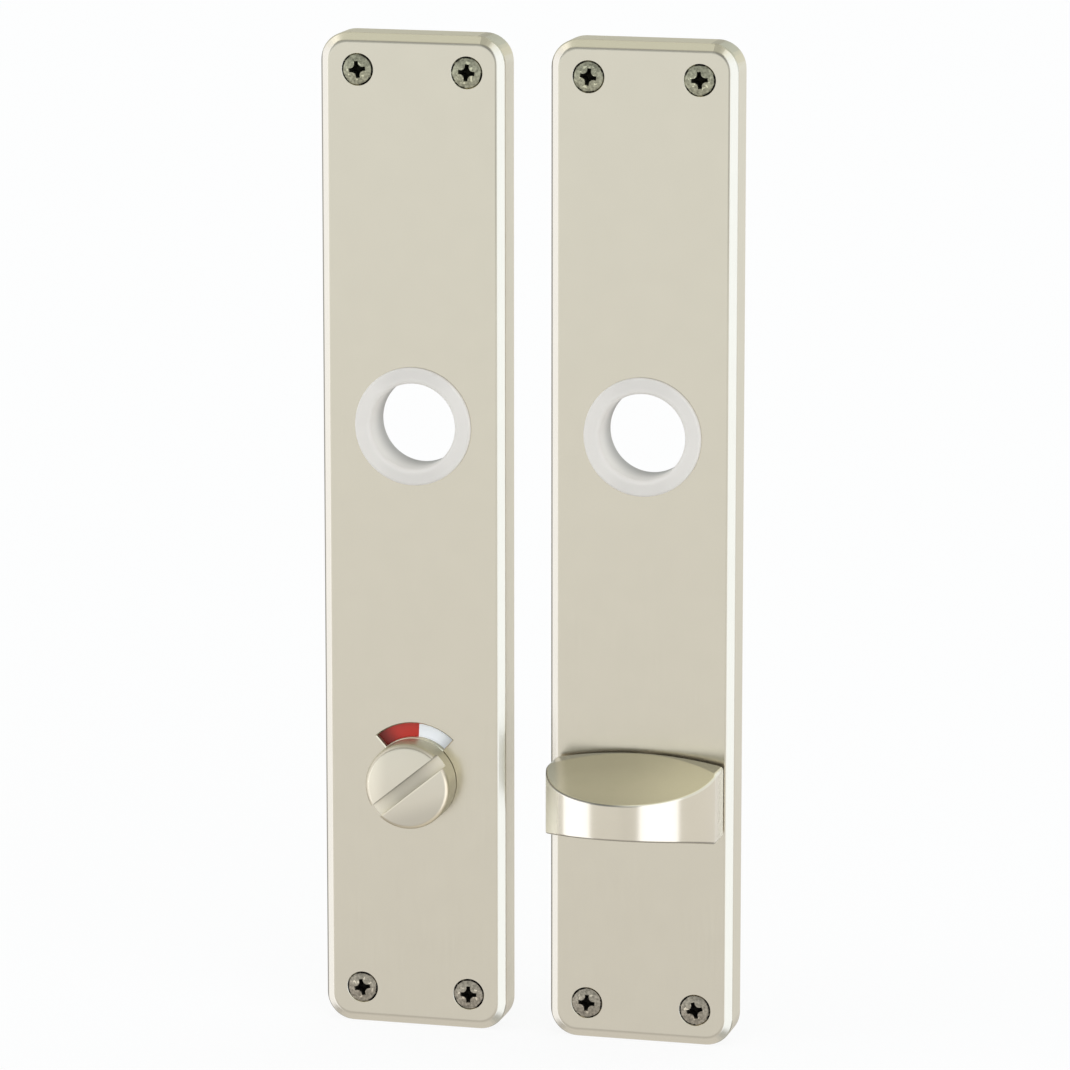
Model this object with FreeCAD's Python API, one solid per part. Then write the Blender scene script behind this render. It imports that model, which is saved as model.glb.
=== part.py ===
import FreeCAD, Part
import math
import os

# A pair of long door backplates for a bathroom door, in millimetres.
# Origin: the outside plate's handle axis where it crosses the door's surface.
# The plates' fronts face -Y, the door lies on the +Y side of y = 0, and +Z is up.

# Plates
PLATE_WIDTH = 40.5
PLATE_ABOVE_AXIS = 84.2
PLATE_BELOW_AXIS = 133.0
PLATE_DEPTH = 8.0
PLATE_CORNER_RADIUS = 6.0
PLATE_BEVEL_WIDTH = 1.75
PLATE_BEVEL_DEPTH = 0.93
PLATE_FACE_RADIUS = 1.5
PLATE_SIDE_RADIUS = 0.5
PLATE_SPACING = 50.5
LOCK_DISTANCE = 78.0
COVER_WALL = 1.5

# Support frames inside the covers
FRAME_SIDE_CLEARANCE = 0.15
FRAME_SKIN = 1.5
FRAME_RIM = 1.8
HUB_WALL = 3.2
RIB_WIDTH = 1.6
POCKET_LONGEST = 17.0
POCKET_CORNER_RADIUS = 1.5
REAR_RECESS_DEPTH = 2.2

# Handle bushes
HANDLE_BORE = 18.5
BUSH_WALL = 1.75
BUSH_FLANGE_WIDTH = 1.8
BUSH_FLANGE_HEIGHT = 0.9
BUSH_BACK_LENGTH = 1.2
BUSH_RIM_RADIUS = 0.5
BUSH_MOUTH_RADIUS = 1.1
CLIP_THICKNESS = 0.9
CLIP_GROOVE_DEPTH = 0.75
CLIP_REACH = 1.4
CLIP_OPENING_ANGLE = 50.0

# Shafts of the release knob and the thumb turn
SHAFT_WALL = 1.3
COLLAR_STEP = 1.0
COLLAR_FLAT_STEP = 0.3
RELEASE_SOCKET_DEPTH = 7.6
TURN_SOCKET_DEPTH = 17.6
BEARING_WALL = 1.3
BEARING_FLANGE_WIDTH = 1.6
BEARING_FLANGE_HEIGHT = 0.5
WASHER_THICKNESS = 0.3
WASHER_CONE_HEIGHT = 0.45
WASHER_WIDTH = 2.6
CIRCLIP_THICKNESS = 0.7
CIRCLIP_GROOVE_DEPTH = 0.5
CIRCLIP_WIDTH = 1.7
CIRCLIP_OPENING_ANGLE = 44.0
CIRCLIP_EYE_DIAMETER = 1.2

# Discs behind the covers, with the lug that stops the turning
DISC_OVERLAP = 0.8
DISC_THICKNESS = 1.0
LUG_HEIGHT = 1.6
LUG_ANGLE = 12.0
STOP_SWING = 90.0
STOP_SPARE_ANGLE = 1.0

# Release knob, with its coin slot at the angle that the photograph shows
KNOB_DIAMETER = 18.8
KNOB_HEIGHT = 6.2
KNOB_EDGE_RADIUS = 1.0
KNOB_GAP = 0.3
COIN_SLOT_WIDTH = 3.05
COIN_SLOT_DEPTH = 2.2
COIN_SLOT_ANGLE = 39.4

# Indicator window and the red segment on the white disc
WINDOW_KNOB_GAP = 0.1
WINDOW_WIDTH = 3.2
WINDOW_HALF_ANGLE = 42.0
WINDOW_BEVEL = 0.25
RED_START_ANGLE = 87.0
RED_SPAN_ANGLE = 93.0
RED_THICKNESS = 0.35
RED_OVERLAP = 0.4

# Thumb turn: half-moon plan, barrel-shaped front, hollowed above and below
TURN_WIDTH = 37.0
TURN_PROJECTION = 26.0
TURN_GAP = 1.8
TURN_STRAIGHT = 0.8
TURN_END_TRIM = 0.2
TURN_MIDDLE_HEIGHT = 19.2
TURN_END_HEIGHT = 15.3
TURN_FRONT_HEIGHT = 7.8
TURN_HOLLOW = 0.5
TURN_CORNER_RADIUS = 0.9
TURN_EDGE_RADIUS = 0.5

# Spindle and its set screw
SPINDLE_SIDE = 8.0
SPINDLE_BEHIND_PLATE = 45.0
SPINDLE_END_GAP = 0.4
SOCKET_CLEARANCE = 0.05
SPINDLE_CHAMFER = 0.6
GRUB_DIAMETER = 4.0
GRUB_LENGTH = 4.0
GRUB_DEPTH = 14.0
GRUB_KEY_SIZE = 2.0
GRUB_KEY_DEPTH = 1.6

# Wood screws
SCREW_SPACING = 24.0
SCREW_EDGE_DISTANCE = 7.8
SCREW_HEAD_DIAMETER = 6.4
SCREW_RIM_HEIGHT = 0.25
SCREW_DOME_HEIGHT = 0.35
SCREW_SHANK_DIAMETER = 2.8
SCREW_THREAD_DIAMETER = 3.5
SCREW_LENGTH_IN_DOOR = 17.0
SCREW_TIP_LENGTH = 3.0
SCREW_TIP_DIAMETER = 0.6
SCREW_HOLE_DIAMETER = 3.8
CROSS_WIDTH = 0.9
CROSS_LENGTH = 3.8
CROSS_CORNER_RADIUS = 0.95
CROSS_DEPTH = 1.7
CROSS_FLOOR_SHARE = 0.45
OUTSIDE_SCREW_ANGLES = (8.0, -6.0, 12.0, 0.0)
INSIDE_SCREW_ANGLES = (-10.0, 5.0, -4.0, 14.0)

# Clearances
SEAT_CLEARANCE = 0.05
RUNNING_CLEARANCE = 0.05
SIDE_GAP = 0.1
DISC_CLEARANCE = 0.2
COLLAR_CLEARANCE = 0.2
INLAY_CLEARANCE = 0.025
SPARE = 1.0
SHARP_ANGLE = 15.0

FRONT = FreeCAD.Vector(0, -1, 0)
BACK = FreeCAD.Vector(0, 1, 0)
FACE_Y = -PLATE_DEPTH
INNER_FACE_Y = FACE_Y + COVER_WALL
DISC_FRONT_Y = INNER_FACE_Y + DISC_CLEARANCE
DISC_BACK_Y = DISC_FRONT_Y + DISC_THICKNESS
RECESS_FLOOR_Y = DISC_BACK_Y + DISC_CLEARANCE
REAR_FLOOR_Y = -REAR_RECESS_DEPTH
TOP_SCREW_Z = PLATE_ABOVE_AXIS - SCREW_EDGE_DISTANCE
BOTTOM_SCREW_Z = SCREW_EDGE_DISTANCE - PLATE_BELOW_AXIS
LOCK_Z = -LOCK_DISTANCE
OUTSIDE_X = 0.0
INSIDE_X = PLATE_SPACING
BUSH_DIAMETER = HANDLE_BORE + 2 * BUSH_WALL
BUSH_FLANGE_DIAMETER = BUSH_DIAMETER + 2 * BUSH_FLANGE_WIDTH
SOCKET_SIDE = SPINDLE_SIDE + 2 * SOCKET_CLEARANCE
SHAFT_DIAMETER = SOCKET_SIDE * math.sqrt(2) + 2 * SHAFT_WALL
COLLAR_DIAMETER = SHAFT_DIAMETER + 2 * COLLAR_STEP
COLLAR_FLATS = SHAFT_DIAMETER + 2 * COLLAR_FLAT_STEP
WINDOW_INNER_RADIUS = KNOB_DIAMETER / 2 + WINDOW_KNOB_GAP
WINDOW_OUTER_RADIUS = WINDOW_INNER_RADIUS + WINDOW_WIDTH
DISC_DIAMETER = 2 * (WINDOW_OUTER_RADIUS + DISC_OVERLAP)


def at(x, y, z):
    return FreeCAD.Vector(x, y, z)


def rod(x, z, diameter, y_front, y_back):
    """A cylinder along Y between two depths."""
    return Part.makeCylinder(diameter / 2, y_back - y_front, at(x, y_front, z), BACK)


def ring(x, z, outer, inner, y_front, y_back):
    hole = rod(x, z, inner, y_front - SPARE, y_back + SPARE)
    return rod(x, z, outer, y_front, y_back).cut(hole)


def polar(x, z, radius, angle, y):
    """The point at an angle from +X towards +Z round an axis along Y."""
    turned = math.radians(angle)
    return at(x + radius * math.cos(turned), y, z + radius * math.sin(turned))


def sector(x, z, inner, outer, start, end, y_front, y_back):
    """A ring sector between two radii and two angles."""
    middle = (start + end) / 2
    outside = Part.Arc(
        polar(x, z, outer, start, y_front),
        polar(x, z, outer, middle, y_front),
        polar(x, z, outer, end, y_front),
    )
    inside = Part.Arc(
        polar(x, z, inner, end, y_front),
        polar(x, z, inner, middle, y_front),
        polar(x, z, inner, start, y_front),
    )
    first = Part.LineSegment(
        polar(x, z, inner, start, y_front), polar(x, z, outer, start, y_front)
    )
    last = Part.LineSegment(
        polar(x, z, outer, end, y_front), polar(x, z, inner, end, y_front)
    )
    edges = [part.toShape() for part in (first, outside, last, inside)]
    return Part.Face(Part.Wire(edges)).extrude(at(0, y_back - y_front, 0))


def rounded_block(x, z_low, z_high, width, corner, y_front, y_back):
    """A block with rounded upright corners, as seen from the front."""
    block = Part.makeBox(
        width, y_back - y_front, z_high - z_low, at(x - width / 2, y_front, z_low)
    )
    upright = [edge for edge in block.Edges if edge.tangentAt(0).isParallel(BACK, 1e-6)]
    return block.makeFillet(corner, upright)


def turned(points, x, z):
    """A solid of revolution from (radius, y) points about an axis along Y."""
    wire = Part.makePolygon([at(x + r, y, z) for r, y in points + points[:1]])
    return Part.Face(wire).revolve(at(x, 0, z), BACK, 360)


def square_bar(x, z, side, angle, y_front, y_back):
    bar = Part.makeBox(
        side, y_back - y_front, side, at(x - side / 2, y_front, z - side / 2)
    )
    bar.rotate(at(x, 0, z), FRONT, angle)
    return bar


def open_ring(x, z, outer, inner, opening, angle, y_front, y_back):
    """A flat ring with a gap of the given opening angle, centred on an angle."""
    gap = sector(
        x, z, inner / 2 - SPARE, outer, angle - opening / 2, angle + opening / 2,
        y_front - SPARE, y_back + SPARE,
    )
    return ring(x, z, outer, inner, y_front, y_back).cut(gap)


# Screws
def screw_places(x):
    half = SCREW_SPACING / 2
    return [
        (x + side * half, z)
        for z in (TOP_SCREW_Z, BOTTOM_SCREW_Z)
        for side in (-1, 1)
    ]


def screw_holes(x):
    """Countersunk clearance holes for a plate's four screws."""
    mouth = SCREW_HEAD_DIAMETER / 2 + SEAT_CLEARANCE + SCREW_RIM_HEIGHT
    bottom = SCREW_HOLE_DIAMETER / 2
    points = [
        (0, FACE_Y - SPARE),
        (mouth, FACE_Y - SPARE),
        (mouth, FACE_Y),
        (bottom, FACE_Y + mouth - bottom),
        (bottom, SPARE),
        (0, SPARE),
    ]
    return [turned(points, sx, sz) for sx, sz in screw_places(x)]


def cross_outline(x, y, z, share):
    """A cross with hollow-rounded inner corners, as a wire at one depth."""
    arm = share * CROSS_WIDTH / 2
    tip = share * CROSS_LENGTH / 2
    corner = share * CROSS_CORNER_RADIUS
    near = arm + corner
    bulge = near - corner / math.sqrt(2)
    edges = []
    for quarter in range(4):
        turn = FreeCAD.Rotation(BACK, 90 * quarter)
        points = [
            turn.multVec(at(px, 0, pz)) + at(x, y, z)
            for px, pz in (
                (tip, -arm), (tip, arm), (near, arm), (bulge, bulge), (arm, near), (arm, tip),
            )
        ]
        edges.append(Part.makeLine(points[0], points[1]))
        edges.append(Part.makeLine(points[1], points[2]))
        edges.append(Part.Arc(points[2], points[3], points[4]).toShape())
        edges.append(Part.makeLine(points[4], points[5]))
    return Part.Wire(Part.__sortEdges__(edges))


def cross_recess(x, z, angle):
    """The driver's recess, which narrows towards its floor."""
    top = FACE_Y - SCREW_DOME_HEIGHT
    mouth = cross_outline(x, top, z, 1.0)
    floor = cross_outline(x, top + CROSS_DEPTH, z, CROSS_FLOOR_SHARE)
    funnel = Part.makeLoft([mouth, floor], True, True)
    above = Part.Face(mouth).extrude(at(0, -SPARE, 0))
    cross = funnel.fuse(above)
    cross.rotate(at(x, 0, z), FRONT, angle)
    return cross


def screw(x, z, angle):
    """A raised countersunk wood screw with a cross recess."""
    head = SCREW_HEAD_DIAMETER / 2
    shank = SCREW_SHANK_DIAMETER / 2
    thread = SCREW_THREAD_DIAMETER / 2
    tip = SCREW_TIP_DIAMETER / 2
    rim_back = FACE_Y + SCREW_RIM_HEIGHT
    thread_end = SCREW_LENGTH_IN_DOOR - SCREW_TIP_LENGTH
    body = turned(
        [
            (0, FACE_Y),
            (head, FACE_Y),
            (head, rim_back),
            (shank, rim_back + head - shank),
            (shank, SIDE_GAP),
            (thread, SIDE_GAP),
            (thread, thread_end),
            (tip, SCREW_LENGTH_IN_DOOR),
            (0, SCREW_LENGTH_IN_DOOR),
        ],
        x,
        z,
    )
    ball = (head**2 + SCREW_DOME_HEIGHT**2) / (2 * SCREW_DOME_HEIGHT)
    dome = Part.makeSphere(ball, at(x, FACE_Y - SCREW_DOME_HEIGHT + ball, z))
    dome = dome.common(rod(x, z, SCREW_HEAD_DIAMETER, FACE_Y - SPARE, FACE_Y))
    return body.fuse(dome).removeSplitter().cut(cross_recess(x, z, angle))


def screws(x, angles):
    return Part.makeCompound(
        [screw(sx, sz, angle) for (sx, sz), angle in zip(screw_places(x), angles)]
    )


# Cover plates
def edges_at(shape, y):
    """The edges that lie in one plane across Y."""
    return [
        edge
        for edge in shape.Edges
        if all(abs(v.Point.y - y) < 1e-6 for v in edge.Vertexes)
    ]


def plate_outline(x, inset, y):
    """The plate's rounded rectangle at one depth, drawn in by an inset."""
    block = rounded_block(
        x, inset - PLATE_BELOW_AXIS, PLATE_ABOVE_AXIS - inset, PLATE_WIDTH - 2 * inset,
        PLATE_CORNER_RADIUS - inset, y, 0,
    )
    return Part.Wire(Part.__sortEdges__(edges_at(block, y)))


def cover_blank(x):
    """A cover with a broad shallow bevel that runs softly into its face and sides."""
    bevel_back = FACE_Y + PLATE_BEVEL_DEPTH
    outline = plate_outline(x, 0, bevel_back)
    bevel = Part.makeLoft([outline, plate_outline(x, PLATE_BEVEL_WIDTH, FACE_Y)], True, True)
    body = Part.Face(outline).extrude(at(0, -bevel_back, 0)).fuse(bevel)
    body = body.makeFillet(PLATE_FACE_RADIUS, edges_at(body, FACE_Y))
    body = body.makeFillet(PLATE_SIDE_RADIUS, edges_at(body, bevel_back))
    hollow = rounded_block(
        x,
        COVER_WALL - PLATE_BELOW_AXIS,
        PLATE_ABOVE_AXIS - COVER_WALL,
        PLATE_WIDTH - 2 * COVER_WALL,
        PLATE_CORNER_RADIUS - COVER_WALL,
        INNER_FACE_Y,
        SPARE,
    )
    return body.cut(hollow)


def cover_plate(x):
    bush_hole = rod(x, 0, BUSH_DIAMETER + 2 * SEAT_CLEARANCE, FACE_Y - SPARE, 0)
    collar_room = COLLAR_DIAMETER + 2 * COLLAR_CLEARANCE
    collar_hole = rod(x, LOCK_Z, collar_room, FACE_Y - SPARE, 0)
    return cover_blank(x).cut([bush_hole, collar_hole] + screw_holes(x))


def window_cut(x):
    """The indicator window: a ring sector over the knob with a bevelled front edge."""
    start = 90 - WINDOW_HALF_ANGLE
    end = 90 + WINDOW_HALF_ANGLE
    return sector(
        x, LOCK_Z, WINDOW_INNER_RADIUS, WINDOW_OUTER_RADIUS, start, end,
        FACE_Y - SPARE, INNER_FACE_Y + SPARE,
    )


def windowed_cover(x):
    cover = cover_plate(x).cut(window_cut(x))
    centre = at(x, FACE_Y, LOCK_Z)
    nearest = WINDOW_INNER_RADIUS - SEAT_CLEARANCE
    farthest = WINDOW_OUTER_RADIUS + SEAT_CLEARANCE
    rim = [
        edge
        for edge in cover.Edges
        if len(edge.Vertexes) == 2
        and all(
            abs(v.Point.y - FACE_Y) < 1e-6
            and nearest < v.Point.distanceToPoint(centre) < farthest
            for v in edge.Vertexes
        )
    ]
    return cover.makeChamfer(WINDOW_BEVEL, rim)


# Support frames
def pocket_rows(z_low, z_high):
    """The low and high ends of evenly spaced pockets that fill a stretch."""
    count = max(1, math.ceil((z_high - z_low + RIB_WIDTH) / (POCKET_LONGEST + RIB_WIDTH)))
    height = (z_high - z_low - (count - 1) * RIB_WIDTH) / count
    return [
        (z_low + i * (height + RIB_WIDTH), z_low + i * (height + RIB_WIDTH) + height)
        for i in range(count)
    ]


def frame_width():
    return PLATE_WIDTH - 2 * (COVER_WALL + FRAME_SIDE_CLEARANCE)


def frame_pockets(x):
    """Pockets open to the door, between the hubs and the screw pillars."""
    handle_hub = BUSH_DIAMETER / 2 + CLIP_REACH + SIDE_GAP + HUB_WALL
    lock_hub = DISC_DIAMETER / 2 + LUG_HEIGHT + RIB_WIDTH
    pillar = SCREW_HEAD_DIAMETER / 2 + RIB_WIDTH
    stretches = [
        (handle_hub, TOP_SCREW_Z - pillar),
        (LOCK_Z + lock_hub, -handle_hub),
        (BOTTOM_SCREW_Z + pillar, LOCK_Z - lock_hub),
    ]
    width = (frame_width() - 2 * FRAME_RIM - RIB_WIDTH) / 2
    pockets = []
    for low, high in stretches:
        for z_low, z_high in pocket_rows(low, high):
            for side in (-1, 1):
                middle = x + side * (width + RIB_WIDTH) / 2
                pockets.append(
                    rounded_block(
                        middle, z_low, z_high, width, POCKET_CORNER_RADIUS,
                        INNER_FACE_Y + FRAME_SKIN, SPARE,
                    )
                )
    return pockets


def stop_pocket(x):
    """The disc's recess, with the wider arc in which its lug swings."""
    front = INNER_FACE_Y - SPARE
    room = DISC_DIAMETER / 2 + DISC_CLEARANCE
    recess = rod(x, LOCK_Z, 2 * room, front, RECESS_FLOOR_Y)
    half = (STOP_SWING + LUG_ANGLE) / 2 + STOP_SPARE_ANGLE
    arc = sector(
        x, LOCK_Z, SHAFT_DIAMETER / 2, room + LUG_HEIGHT, 270 - half, 270 + half,
        front, RECESS_FLOOR_Y,
    )
    return [recess, arc]


def support_frame(x):
    inset = COVER_WALL + FRAME_SIDE_CLEARANCE
    block = rounded_block(
        x, inset - PLATE_BELOW_AXIS, PLATE_ABOVE_AXIS - inset, frame_width(),
        PLATE_CORNER_RADIUS - inset, INNER_FACE_Y, 0,
    )
    clip_room = BUSH_DIAMETER + 2 * (CLIP_REACH + SIDE_GAP)
    washer_room = SHAFT_DIAMETER + 2 * (BEARING_WALL + BEARING_FLANGE_WIDTH + SIDE_GAP)
    cuts = [
        rod(x, 0, BUSH_DIAMETER + 2 * SEAT_CLEARANCE, INNER_FACE_Y - SPARE, SPARE),
        rod(x, 0, clip_room, REAR_FLOOR_Y, SPARE),
        rod(
            x, LOCK_Z, bearing_diameter() + 2 * SEAT_CLEARANCE,
            INNER_FACE_Y - SPARE, SPARE,
        ),
        rod(x, LOCK_Z, washer_room, REAR_FLOOR_Y, SPARE),
    ]
    return block.cut(cuts + stop_pocket(x) + frame_pockets(x) + screw_holes(x))


# Handle bushes and their clips
def round_rims(shape, y, smallest, largest, radius):
    """Rounds the circular edges in one plane across Y whose diameters lie between two."""
    rims = [
        edge
        for edge in shape.Edges
        if abs(edge.CenterOfMass.y - y) < 1e-6
        and smallest < edge.Length / math.pi < largest
    ]
    return shape.makeFillet(radius, rims)


def handle_bush(x):
    flange_front = FACE_Y - BUSH_FLANGE_HEIGHT
    flange = rod(x, 0, BUSH_FLANGE_DIAMETER, flange_front, FACE_Y)
    barrel = rod(x, 0, BUSH_DIAMETER, FACE_Y, BUSH_BACK_LENGTH)
    bore = rod(x, 0, HANDLE_BORE, flange_front - SPARE, BUSH_BACK_LENGTH + SPARE)
    bush = flange.fuse(barrel).removeSplitter().cut(bore)
    widest = BUSH_FLANGE_DIAMETER + SPARE
    bush = round_rims(bush, flange_front, BUSH_DIAMETER, widest, BUSH_RIM_RADIUS)
    bush = round_rims(bush, flange_front, 0, BUSH_DIAMETER, BUSH_MOUTH_RADIUS)
    groove = ring(
        x, 0, BUSH_DIAMETER + SPARE, BUSH_DIAMETER - 2 * CLIP_GROOVE_DEPTH,
        REAR_FLOOR_Y, REAR_FLOOR_Y + CLIP_THICKNESS + SIDE_GAP,
    )
    return bush.cut(groove)


def bush_clip(x):
    inner = BUSH_DIAMETER - 2 * (CLIP_GROOVE_DEPTH - SEAT_CLEARANCE)
    outer = BUSH_DIAMETER + 2 * CLIP_REACH
    return open_ring(
        x, 0, outer, inner, CLIP_OPENING_ANGLE, 270, REAR_FLOOR_Y,
        REAR_FLOOR_Y + CLIP_THICKNESS,
    )


# Shafts, bearings and what holds them
def bearing_diameter():
    return SHAFT_DIAMETER + 2 * (RUNNING_CLEARANCE + BEARING_WALL)


def collar_section(x, grow, angle, y_front, y_back):
    """The round collar with two flats that the disc is keyed on."""
    flats = COLLAR_FLATS + 2 * grow
    collar = rod(x, LOCK_Z, COLLAR_DIAMETER + 2 * grow, y_front, y_back)
    band = Part.makeBox(
        2 * COLLAR_DIAMETER, y_back - y_front, flats,
        at(x - COLLAR_DIAMETER, y_front, LOCK_Z - flats / 2),
    )
    band.rotate(at(x, 0, LOCK_Z), FRONT, angle)
    return collar.common(band)


def circlip_front():
    """The washer and the ring stand behind the bearing's flange in this order."""
    return REAR_FLOOR_Y + BEARING_FLANGE_HEIGHT + WASHER_CONE_HEIGHT + WASHER_THICKNESS


def shaft(x, angle, y_front):
    """Collar and shaft behind a knob, with the groove for its retaining ring."""
    collar = collar_section(x, 0, angle, y_front, DISC_BACK_Y)
    bar = rod(x, LOCK_Z, SHAFT_DIAMETER, DISC_BACK_Y, 0)
    front = circlip_front()
    groove = ring(
        x, LOCK_Z, SHAFT_DIAMETER + SPARE, SHAFT_DIAMETER - 2 * CIRCLIP_GROOVE_DEPTH,
        front - SEAT_CLEARANCE, front + CIRCLIP_THICKNESS + SEAT_CLEARANCE,
    )
    return collar.fuse(bar).cut(groove)


def bearing_bush(x):
    outer = bearing_diameter()
    inner = SHAFT_DIAMETER + 2 * RUNNING_CLEARANCE
    flange_outer = outer + 2 * BEARING_FLANGE_WIDTH - 2 * RUNNING_CLEARANCE
    body = rod(x, LOCK_Z, outer, RECESS_FLOOR_Y, REAR_FLOOR_Y)
    flange = rod(
        x, LOCK_Z, flange_outer, REAR_FLOOR_Y, REAR_FLOOR_Y + BEARING_FLANGE_HEIGHT
    )
    hole = rod(x, LOCK_Z, inner, RECESS_FLOOR_Y - SPARE, SPARE)
    return body.fuse(flange).cut(hole)


def spring_washer(x):
    """A conical spring washer between the bearing's flange and the retaining ring."""
    inner = SHAFT_DIAMETER / 2 + SIDE_GAP
    outer = inner + WASHER_WIDTH
    front = REAR_FLOOR_Y + BEARING_FLANGE_HEIGHT
    rise = WASHER_CONE_HEIGHT - SEAT_CLEARANCE
    return turned(
        [
            (outer, front),
            (outer, front + WASHER_THICKNESS),
            (inner, front + rise + WASHER_THICKNESS),
            (inner, front + rise),
        ],
        x,
        LOCK_Z,
    )


def circlip(x, angle):
    """A retaining ring with two eyes beside its opening."""
    inner = SHAFT_DIAMETER - 2 * (CIRCLIP_GROOVE_DEPTH - SEAT_CLEARANCE)
    outer = inner + 2 * CIRCLIP_WIDTH
    front = circlip_front()
    back = front + CIRCLIP_THICKNESS
    clip = open_ring(
        x, LOCK_Z, outer, inner, CIRCLIP_OPENING_ANGLE, angle, front, back
    )
    swing = CIRCLIP_OPENING_ANGLE / 2 + 2 * math.degrees(CIRCLIP_EYE_DIAMETER / outer)
    for side in (-1, 1):
        eye = polar(x, LOCK_Z, (outer + inner) / 4, angle + side * swing, 0)
        hole = rod(eye.x, eye.z, CIRCLIP_EYE_DIAMETER, front - SPARE, back + SPARE)
        clip = clip.cut(hole)
    return clip


def stop_disc(x, collar_angle, lug_angle):
    """A disc keyed on the collar, with a lug that swings in the frame's stop arc."""
    disc = rod(x, LOCK_Z, DISC_DIAMETER, DISC_FRONT_Y, DISC_BACK_Y)
    lug = sector(
        x, LOCK_Z, COLLAR_DIAMETER / 2 + SPARE, DISC_DIAMETER / 2 + LUG_HEIGHT,
        lug_angle - LUG_ANGLE / 2, lug_angle + LUG_ANGLE / 2, DISC_FRONT_Y, DISC_BACK_Y,
    )
    hole = collar_section(
        x, SEAT_CLEARANCE, collar_angle, DISC_FRONT_Y - SPARE, DISC_BACK_Y + SPARE
    )
    return disc.fuse(lug).removeSplitter().cut(hole)


# Release knob and indicator
def release_knob(x):
    back = FACE_Y - KNOB_GAP
    front = back - KNOB_HEIGHT
    head = rod(x, LOCK_Z, KNOB_DIAMETER, front, back)
    head = round_rims(head, front, 0, 2 * KNOB_DIAMETER, KNOB_EDGE_RADIUS)
    length = 2 * KNOB_DIAMETER
    slot = Part.makeBox(
        length, COIN_SLOT_DEPTH + SPARE, COIN_SLOT_WIDTH,
        at(x - length / 2, front - SPARE, LOCK_Z - COIN_SLOT_WIDTH / 2),
    )
    slot.rotate(at(x, 0, LOCK_Z), FRONT, COIN_SLOT_ANGLE)
    socket = square_bar(
        x, LOCK_Z, SOCKET_SIDE, COIN_SLOT_ANGLE, -RELEASE_SOCKET_DEPTH, SPARE
    )
    return head.fuse(shaft(x, COIN_SLOT_ANGLE, back)).cut([slot, socket])


def red_segment(x, grow):
    """The red inlay in the disc's front; grow widens it into its own pocket."""
    spread = math.degrees(grow / WINDOW_OUTER_RADIUS)
    return sector(
        x, LOCK_Z,
        WINDOW_INNER_RADIUS - RED_OVERLAP - grow,
        WINDOW_OUTER_RADIUS + RED_OVERLAP + grow,
        RED_START_ANGLE - spread,
        RED_START_ANGLE + RED_SPAN_ANGLE + spread,
        DISC_FRONT_Y,
        DISC_FRONT_Y + RED_THICKNESS,
    )


def indicator_disc(x):
    return stop_disc(x, COIN_SLOT_ANGLE, 270).cut(red_segment(x, INLAY_CLEARANCE))


# Thumb turn
def sharp_edges(shape):
    """The edges where two faces meet at a real angle, not smoothly."""
    found = []
    for edge in shape.Edges:
        middle = edge.valueAt((edge.FirstParameter + edge.LastParameter) / 2)
        normals = [
            face.normalAt(*face.Surface.parameter(middle))
            for face in shape.ancestorsOfType(edge, Part.Face)
        ]
        if len(normals) == 2 and math.degrees(normals[0].getAngle(normals[1])) > SHARP_ANGLE:
            found.append(edge)
    return found


def turn_plan(x, back, front):
    """The half-moon seen from above. The outline then trims its ends flat."""
    half = TURN_WIDTH / 2 + TURN_END_TRIM
    centre = front + half
    low = LOCK_Z - TURN_MIDDLE_HEIGHT
    corners = [
        at(x + half, centre, low),
        at(x + half, back, low),
        at(x - half, back, low),
        at(x - half, centre, low),
    ]
    edges = [Part.makeLine(a, b) for a, b in zip(corners, corners[1:])]
    edges.append(Part.Arc(corners[3], at(x, front, low), corners[0]).toShape())
    return Part.Face(Part.Wire(edges)).extrude(at(0, 0, 2 * TURN_MIDDLE_HEIGHT))


def turn_outline(x, back, front):
    """The barrel seen from the front: higher in the middle than at its ends."""
    half = TURN_WIDTH / 2
    end = TURN_END_HEIGHT / 2
    middle = TURN_MIDDLE_HEIGHT / 2
    upper = Part.Arc(
        at(x - half, back, LOCK_Z + end),
        at(x, back, LOCK_Z + middle),
        at(x + half, back, LOCK_Z + end),
    )
    lower = Part.Arc(
        at(x + half, back, LOCK_Z - end),
        at(x, back, LOCK_Z - middle),
        at(x - half, back, LOCK_Z - end),
    )
    right = Part.makeLine(upper.EndPoint, lower.StartPoint)
    left = Part.makeLine(lower.EndPoint, upper.StartPoint)
    edges = [upper.toShape(), right, lower.toShape(), left]
    barrel = Part.Face(Part.Wire(edges)).extrude(at(0, front - back - SPARE, 0))
    corners = [
        edge
        for edge in barrel.Edges
        if edge.tangentAt(edge.FirstParameter).isParallel(BACK, 1e-6)
    ]
    return barrel.makeFillet(TURN_CORNER_RADIUS, corners)


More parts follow.
